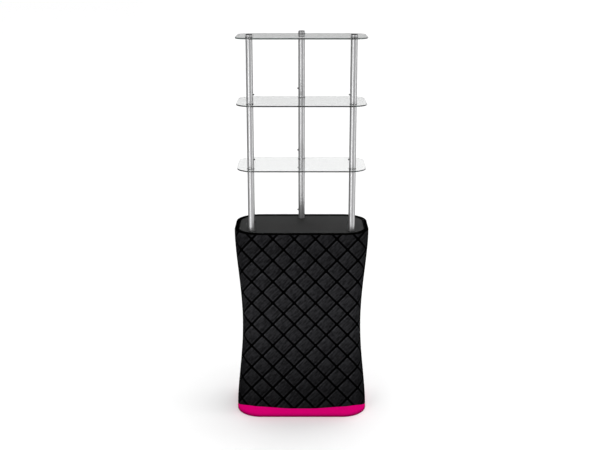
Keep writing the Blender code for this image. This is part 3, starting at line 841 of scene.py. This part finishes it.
def opened(around, along, radius, half_side, half_blend):
    """A flat grid of points warped so that a square of its cells becomes a round hole.

    A point on the square ring at Chebyshev distance m goes to the circle of radius r m / h, and the move
    fades out evenly from the hole's square, of half side h, to the edge of the blend.
    """
    ring = np.maximum(np.abs(around), np.abs(along))
    distance = np.hypot(around, along).clip(1e-9)
    fade = np.clip((half_blend - ring) / (half_blend - half_side), 0, 1)
    pull_in = 1 + fade * (radius * ring / (half_side * distance) - 1)
    return around * pull_in, along * pull_in


def post_wall(radius, foot, top, hole_height, facing):
    """A tube's outer face, unrolled as a grid, opened for the button, and rolled up again."""
    column = 2 * math.pi * radius / POST_SIDES
    half_side, half_blend = HOLE_COLUMNS * column, BLEND_COLUMNS * column
    around = (np.arange(POST_SIDES) - POST_SIDES / 2) * column
    near = hole_height + np.arange(-BLEND_COLUMNS, BLEND_COLUMNS + 1) * column
    above = np.linspace(near[-1], top, POST_TOP_ROWS)[1:]
    along = np.concatenate([[foot, foot + POST_FOOT_ROW], near, above])
    flat_x, flat_z = np.broadcast_arrays(around[None, :], along[:, None] - hole_height)
    across, lift = opened(flat_x, flat_z, BUTTON_HOLE, half_side, half_blend)
    angle = across / radius + (0 if facing > 0 else math.pi)
    points = stacked(radius * np.cos(angle), radius * np.sin(angle), hole_height + lift)
    shell, faces = net(points, round_columns=True)
    corners = stacked(flat_x.ravel(), flat_z.ravel())[faces]
    middle = np.abs(corners.mean(axis=1))
    wrapped = np.ptp(corners[..., 0], axis=1) > math.pi * radius
    keep = wrapped | (middle.max(axis=1) > half_side)
    return shell, faces[keep]


def deburred(made):
    """Breaks the sharp edges of a piece with a small round."""
    ease = made.modifiers.new("deburred", "BEVEL")
    ease.width = DEBURR
    ease.segments = 2
    ease.limit_method = "ANGLE"
    ease.angle_limit = DEBURR_ANGLE
    ease.harden_normals = True
    return made


def spot(low, high, z=0.0):
    """The middle of a box seen from above, at a height."""
    return (low.x + high.x) / 2, (low.y + high.y) / 2, z


for level, post in POSTS:
    low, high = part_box(f"post_{level}_{post}")
    wall = post_wall((high.y - low.y) / 2, low.z, high.z, low.z + BUTTON_RISE, FACINGS[post])
    tube = piece(f"tube_{level}_{post}", [laid(wall, spot(low, high))], ANODISED)
    deburred(thickened(tube, POST_WALL))
    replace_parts(tube, f"post_{level}_{post}")


# Snap-button clips. A leaf of blackened spring steel inside each spigot, hooked into a slot at its foot, that
# pushes a domed button out through the spigot and the post and so locks the two together.
BUTTON_RADIUS = 0.0036
BUTTON_DOME = 0.0026
BUTTON_SIDES, DOME_ROWS = 40, 9
LEAF_THICKNESS = 0.0008
LEAF_CORNER = 0.003
LEAF_EASE = 0.00015
HOOK_HALF_WIDTH = 0.002
HOOK_REACH = 0.0134
HOOK_CORNER = 0.0004

blackening = Finish("blackened_spring_steel")
rub = blackening.noise(per_metre=420, detail=3.0)
SPRING_STEEL = blackening.surface(
    {
        "Base Color": blackening.mixed(rub.rise(0.45, 0.85), grey(0.018), grey(0.07, 1.05)),
        "Metallic": 0.85,
        "Roughness": rub.between(0.30, 0.50),
    }
)


def button_profile(length):
    """A cylinder whose end turns in by a quarter circle and closes flat."""
    turn = np.linspace(0, math.pi / 2, DOME_ROWS)
    rim = BUTTON_RADIUS - BUTTON_DOME * (1 - np.cos(turn))
    rise = length - BUTTON_DOME * (1 - np.sin(turn))
    return [(0, 0), (BUTTON_RADIUS, 0), *zip(rim, rise), (0, length)]


half_leaf = LEAF_THICKNESS / 2
leaf_edge = eased_edge(half_leaf, LEAF_EASE)
for level, post in POSTS:
    facing = FACINGS[post]
    low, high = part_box(f"clip_{level}_{post}")
    post_low, post_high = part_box(f"post_{level}_{post}")
    leaf_x = low.x + half_leaf if facing > 0 else high.x - half_leaf
    tip_x = high.x if facing > 0 else low.x
    centre_y = (low.y + high.y) / 2
    leaf = plate((high.y - low.y) / 2, (high.z - low.z) / 2, LEAF_CORNER, leaf_edge)
    hook_length = HOOK_REACH - abs(leaf_x - spot(post_low, post_high)[0])
    hook = plate(HOOK_HALF_WIDTH, hook_length / 2, HOOK_CORNER, leaf_edge)
    hook_x = leaf_x + facing * hook_length / 2
    button = turned(button_profile(abs(tip_x - leaf_x)), BUTTON_SIDES)
    outward, inward, sideways = (facing, 0, 0), (-facing, 0, 0), (0, facing, 0)
    clip_nets = [
        laid(leaf, (leaf_x, centre_y, (low.z + high.z) / 2), sideways, UP, outward),
        laid(hook, (hook_x, centre_y, low.z + half_leaf), sideways, inward, UP),
        laid(button, (leaf_x, centre_y, post_low.z + BUTTON_RISE), sideways, UP, outward),
    ]
    name, body = f"spring_clip_{level}_{post}", f"snap_{level}_{post}"
    clip = piece(name, clip_nets, SPRING_STEEL, body=body)
    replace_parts(even_shading(clip), f"clip_{level}_{post}")


# Glass shelves. 6 mm float glass, cut with rounded corners, drilled for the three posts, ground and polished
# round its edges and then toughened. Each shelf rests on the grommets' flanges.
GLASS_CORNER = 0.084
GLASS_ARRIS = 0.0005
GLASS_HOLE = 0.0151
GLASS_ABSORBS = 6.0
GLASS_TINT = (0.05, 0.22, 0.17, 1.0)
EDGE_TINT_AND_SHADE = (0.30, 0.36, 0.35, 1.0)
OUTLINE_POINTS = 480
HOLE_POINTS = 96
SHARP_ANGLE = math.radians(30)

glass = Finish("clear_toughened_glass")
smear = glass.noise(per_metre=14)
upright = glass.node("ShaderNodeNewGeometry", {}, {}, output=3).part(2)
# The edge faces get a darker, greenish base colour: partly the glass's own green, partly painted shade for
# how dark the edges look through the glass's depth.
edge_shade_share = 1 - (upright * upright).rise(0.6, 0.9)
GLASS = glass.surface(
    {
        "Base Color": glass.mixed(edge_shade_share, grey(0.985), EDGE_TINT_AND_SHADE),
        "Transmission Weight": 1.0,
        "IOR": 1.52,
        "Roughness": smear.between(0, 0.012),
    },
    volume=glass.node("ShaderNodeVolumeAbsorption", {}, {"Color": GLASS_TINT, "Density": GLASS_ABSORBS}),
)


def shelf_outline(half_x, half_y):
    """A plate's rounded outline, with the arcs' points close enough to look round."""
    at = np.linspace(0, 1, OUTLINE_POINTS, endpoint=False)
    centre, normal, _ = round_walk(at, half_x, half_y, GLASS_CORNER)
    return centre + GLASS_CORNER * normal


def flat_curve(name, outlines, thickness):
    """A flat curve filled between its outlines, raised to a thickness and arrised, then made a mesh."""
    curve = bpy.data.curves.new(name, "CURVE")
    curve.dimensions = "2D"
    curve.fill_mode = "BOTH"
    curve.extrude = thickness / 2 - GLASS_ARRIS
    curve.bevel_depth = GLASS_ARRIS
    curve.bevel_resolution = 0
    curve.offset = -GLASS_ARRIS
    for outline in outlines:
        spline = curve.splines.new("POLY")
        spline.points.add(len(outline) - 1)
        spline.points.foreach_set("co", np.pad(outline, ((0, 0), (0, 2))).ravel())
        spline.use_cyclic_u = True
    made = placed(name, curve)
    view = bpy.context.evaluated_depsgraph_get()
    mesh = bpy.data.meshes.new_from_object(made.evaluated_get(view))
    bpy.data.objects.remove(made, do_unlink=True)
    return mesh


hole_turn = np.linspace(0, 2 * math.pi, HOLE_POINTS, endpoint=False)
hole_ring = GLASS_HOLE * stacked(np.cos(hole_turn), np.sin(hole_turn))
for level in LEVELS:
    low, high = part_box(f"shelf_{level}")
    centre = np.array(spot(low, high, (low.z + high.z) / 2))
    outlines = [shelf_outline((high.x - low.x) / 2, (high.y - low.y) / 2)]
    for post in FACINGS:
        hole_at = np.array(spot(*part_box(f"post_{level}_{post}"))) - centre
        outlines.append((hole_at[:2] + hole_ring)[::-1])
    mesh = flat_curve(f"glass_{level}", outlines, high.z - low.z)
    points = np.zeros(len(mesh.vertices) * 3, np.float32)
    mesh.vertices.foreach_get("co", points)
    mesh.vertices.foreach_set("co", (points.reshape(-1, 3) + centre).astype(np.float32).ravel())
    weld(mesh, turn_outwards=True)
    mesh.materials.clear()
    mesh.materials.append(GLASS)
    mesh.shade_smooth()
    mesh.set_sharp_from_angle(angle=SHARP_ANGLE)
    shelf = placed(f"glass_{level}", mesh)
    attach(shelf, "podium")
    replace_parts(shelf, f"shelf_{level}")


# Grommets. Black rubber rings pressed into the shelves' holes, with a flange above and below, so that the
# posts never bear on the glass.
GROMMET_BORE = 0.0140
GROMMET_SLEEVE = 0.0148
GROMMET_FLANGE = 0.0006
GROMMET_SIDES = 72
RUBBER_ROUND = 0.00025
ROUND_STEPS = 4

rubber = Finish("black_moulded_rubber")
dust = rubber.noise(per_metre=800, detail=3.0)
RUBBER = rubber.surface(
    {
        "Base Color": rubber.mixed(dust, grey(0.012), grey(0.026)),
        "Roughness": dust.between(0.62, 0.82),
        "Specular IOR Level": 0.25,
        "Normal": rubber.bump(dust, depth=0.00005, strength=0.5),
    }
)


def rounded_corners(corners, radius):
    """A closed profile whose corners are cut by curves: each runs from one side to the next as a parabola."""
    corners = np.array(corners, float)
    before = np.roll(corners, 1, axis=0) - corners
    after = np.roll(corners, -1, axis=0) - corners
    before *= radius / np.linalg.norm(before, axis=1, keepdims=True)
    after *= radius / np.linalg.norm(after, axis=1, keepdims=True)
    share = np.linspace(0, 1, ROUND_STEPS)[None, :, None]
    arcs = corners[:, None] + before[:, None] * (1 - share) ** 2 + after[:, None] * share**2
    return arcs.reshape(-1, 2)


for level, post in POSTS:
    low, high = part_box(f"grommet_{level}_{post}")
    flange = (high.x - low.x) / 2
    thickness = high.z - low.z
    corners = [(GROMMET_BORE, 0), (flange, 0), (flange, GROMMET_FLANGE), (GROMMET_SLEEVE, GROMMET_FLANGE)]
    corners += [(radius, thickness - rise) for radius, rise in corners[::-1]]
    ring = turned(rounded_corners(corners, RUBBER_ROUND), GROMMET_SIDES, closed=True)
    ring = laid(ring, spot(low, high, low.z))
    grommet = piece(f"rubber_{level}_{post}", [ring], RUBBER)
    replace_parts(even_shading(grommet), f"grommet_{level}_{post}")


# Caps. A short collar of the posts' own tube closes each column above the top shelf, held down by a moulded
# plastic plug whose stem grips the post below.
COLLAR_BORE = 0.0140
COLLAR_CHAMFER = 0.0008
COLLAR_ROUND = 0.0002
COLLAR_SIDES = 96
PLUG_STEM = 0.0136
STEM_CHAMFER, STEM_CHAMFER_RISE = 0.001, 0.002
PLUG_GAP = 0.0003
PLUG_ROUND = 0.001
PLUG_HEAD_RADIUS = 0.0148
DIMPLE_RADIUS = 0.0100
DIMPLE_SLOPE = 0.0006
DIMPLE_DEPTH = 0.0003
PLUG_SIDES, PLUG_ROUND_ROWS = 72, 7

moulding = Finish("black_moulded_plastic")
spark = moulding.noise(per_metre=1500)
PLASTIC = moulding.surface(
    {
        "Base Color": moulding.mixed(spark, grey(0.014), grey(0.024)),
        "Roughness": spark.between(0.60, 0.74),
        "Specular IOR Level": 0.03,
        "Normal": moulding.bump(spark, depth=0.00003, strength=0.5),
    }
)
for post in FACINGS:
    low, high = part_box(f"cap_collar_{post}")
    plug_low, plug_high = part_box(f"cap_plug_{post}")
    foot = spot(low, high, low.z)
    outer, rise = (high.x - low.x) / 2, high.z - low.z
    corners = [
        (COLLAR_BORE, 0),
        (outer, 0),
        (outer, rise - COLLAR_CHAMFER),
        (outer - COLLAR_CHAMFER, rise),
        (COLLAR_BORE, rise),
    ]
    ring = turned(rounded_corners(corners, COLLAR_ROUND), COLLAR_SIDES, closed=True)
    collar = piece(f"collar_{post}", [laid(ring, foot)], ANODISED)
    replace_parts(even_shading(collar), f"cap_collar_{post}")

    stem_low = plug_low.z - low.z
    head_low = rise + PLUG_GAP
    head_high = plug_high.z - low.z
    turn = np.linspace(0, math.pi / 2, PLUG_ROUND_ROWS)
    rim = PLUG_HEAD_RADIUS - PLUG_ROUND * (1 - np.cos(turn))
    profile = [
        (0, stem_low),
        (PLUG_STEM - STEM_CHAMFER, stem_low),
        (PLUG_STEM, stem_low + STEM_CHAMFER_RISE),
        (PLUG_STEM, head_low),
        (PLUG_HEAD_RADIUS, head_low),
        *zip(rim, head_high - PLUG_ROUND * (1 - np.sin(turn))),
        (DIMPLE_RADIUS, head_high),
        (DIMPLE_RADIUS - DIMPLE_SLOPE, head_high - DIMPLE_DEPTH),
        (0, head_high - DIMPLE_DEPTH),
    ]
    plug = piece(f"plug_{post}", [laid(turned(profile, PLUG_SIDES), foot)], PLASTIC)
    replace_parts(even_shading(plug), f"cap_plug_{post}")


# Studio. A pale paper floor, a white sky that darkens overhead and low down behind, a broad soft key from
# above and two soft boxes that draw the highlights down the posts. The camera stands as in the photograph.
FLOOR_HALF = 250.0


def backdrop(name, shape, low_tone, high_tone):
    """A matt sheet of the studio, which isn't part of the podium."""
    matt = Finish(name)
    tooth = matt.noise(per_metre=3)
    tones = matt.mixed(tooth, grey(low_tone), grey(high_tone))
    mesh = bpy.data.meshes.new(name)
    mesh.from_pydata(shape[0].tolist(), [], shape[1].tolist())
    mesh.materials.append(matt.surface({"Base Color": tones, "Roughness": 0.9}))
    made = placed(name, mesh)
    made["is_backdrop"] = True
    return made


floor_reach = np.array([[-FLOOR_HALF, FLOOR_HALF]])
backdrop("pale_paper", net(stacked(floor_reach, floor_reach.T, 0)), low_tone=0.89, high_tone=0.91)

# A black flag lies on the floor behind and to the left, a sector of a ring. The camera doesn't see it, and
# only the posts mirror it, as the dark line down their left edges.
FLAG_NEAR, FLAG_FAR = 1.5, 80.0
FLAG_START, FLAG_END = math.radians(100), math.radians(178)
FLAG_LIFT = 0.002
FLAG_COLUMNS = 9

flag_turn = np.linspace(FLAG_START, FLAG_END, FLAG_COLUMNS)
flag_reach = np.array([[FLAG_FAR], [FLAG_NEAR]])
flag_net = net(stacked(flag_reach * np.cos(flag_turn), flag_reach * np.sin(flag_turn), FLAG_LIFT))
flag = backdrop("black_flag", flag_net, low_tone=0.003, high_tone=0.005)
flag.visible_camera = False
flag.visible_diffuse = False
flag.visible_transmission = False
flag.visible_shadow = False

# The sky is darker low down behind the podium, which the glass mirrors, and a little brighter to the right.
HORIZON_LIGHT = 0.90
BEHIND_LIGHT = 0.42
WALL_LIGHT = 0.82
CEILING_LIGHT = 0.45
RIGHT_GAIN_SHARE = 0.3
WALL_START, WALL_END = math.radians(1), math.radians(12)
CEILING_START = math.radians(30)
BEHIND_EDGE, BEHIND_CORE = math.radians(35), math.radians(15)

sky = Finish("studio_sky", bpy.data.worlds)
toward = sky.node("ShaderNodeTexCoord", {}, {}, output=0)
behind_share = toward.part(1).rise(math.cos(BEHIND_EDGE), math.cos(BEHIND_CORE))
wall_share = toward.part(2).rise(math.sin(WALL_START), math.sin(WALL_END))
ceiling_share = toward.part(2).rise(math.sin(CEILING_START), 1.0)
horizon = behind_share.between(HORIZON_LIGHT, BEHIND_LIGHT)
wall_light = toward.part(0).between(WALL_LIGHT, WALL_LIGHT * (1 + RIGHT_GAIN_SHARE))
above = ceiling_share.between(wall_light, CEILING_LIGHT)
background = {"Color": grey(1.0), "Strength": wall_share.between(horizon, above)}
background = sky.node("ShaderNodeBackground", {}, background)
sky.node("ShaderNodeOutputWorld", {}, {"Surface": background})
bpy.context.scene.world = sky.material


def lamp(name, kind, place, aim, power, **settings):
    """A light at a place, turned to aim at a point."""
    light = bpy.data.lights.new(name, kind)
    light.energy = power
    for setting, value in settings.items():
        setattr(light, setting, value)
    holder = placed(name, light)
    holder.location = place
    holder.rotation_euler = (Vector(aim) - Vector(place)).to_track_quat("-Z", "Y").to_euler()


# Each soft box has a place, a power and a width.
KEY_PLACE, KEY_AIM = (0.5, 0.6, 6.0), (0, 0, 1.0)
KEY_POWER, KEY_SPREAD = 1.68, math.radians(60)
BOXES = {"left_box": ((-1.9, -3.3, 1.0), 44, 1.5), "right_box": ((3.2, -1.0, 1.0), 18, 1.2)}
BOX_HEIGHT = 2.0

middle = (0, 0, (cad_low.z + cad_high.z) / 2)
lamp("overhead_key", "SUN", KEY_PLACE, KEY_AIM, KEY_POWER, angle=KEY_SPREAD)
for name, (place, power, width) in BOXES.items():
    lamp(name, "AREA", place, middle, power, shape="RECTANGLE", size=width, size_y=BOX_HEIGHT)

PHOTO_WIDTH = 600
FOCAL_PIXELS = 935.08
PODIUM_COLUMN = 301.57
CAMERA_BACK = 4.542
CAMERA_HEIGHT = 2.2232
CAMERA_PITCH = math.radians(15.48)
SENSOR = 36.0

camera = bpy.data.cameras.new("camera")
camera.sensor_width = SENSOR
camera.lens = FOCAL_PIXELS / PHOTO_WIDTH * SENSOR
camera.shift_x = (PHOTO_WIDTH / 2 - PODIUM_COLUMN) / PHOTO_WIDTH
holder = placed("camera", camera)
holder.location = (0, -CAMERA_BACK, CAMERA_HEIGHT)
holder.rotation_euler = (math.pi / 2 - CAMERA_PITCH, 0, 0)
bpy.context.scene.camera = holder
bpy.context.scene.view_settings.view_transform = "Standard"

low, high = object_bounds()
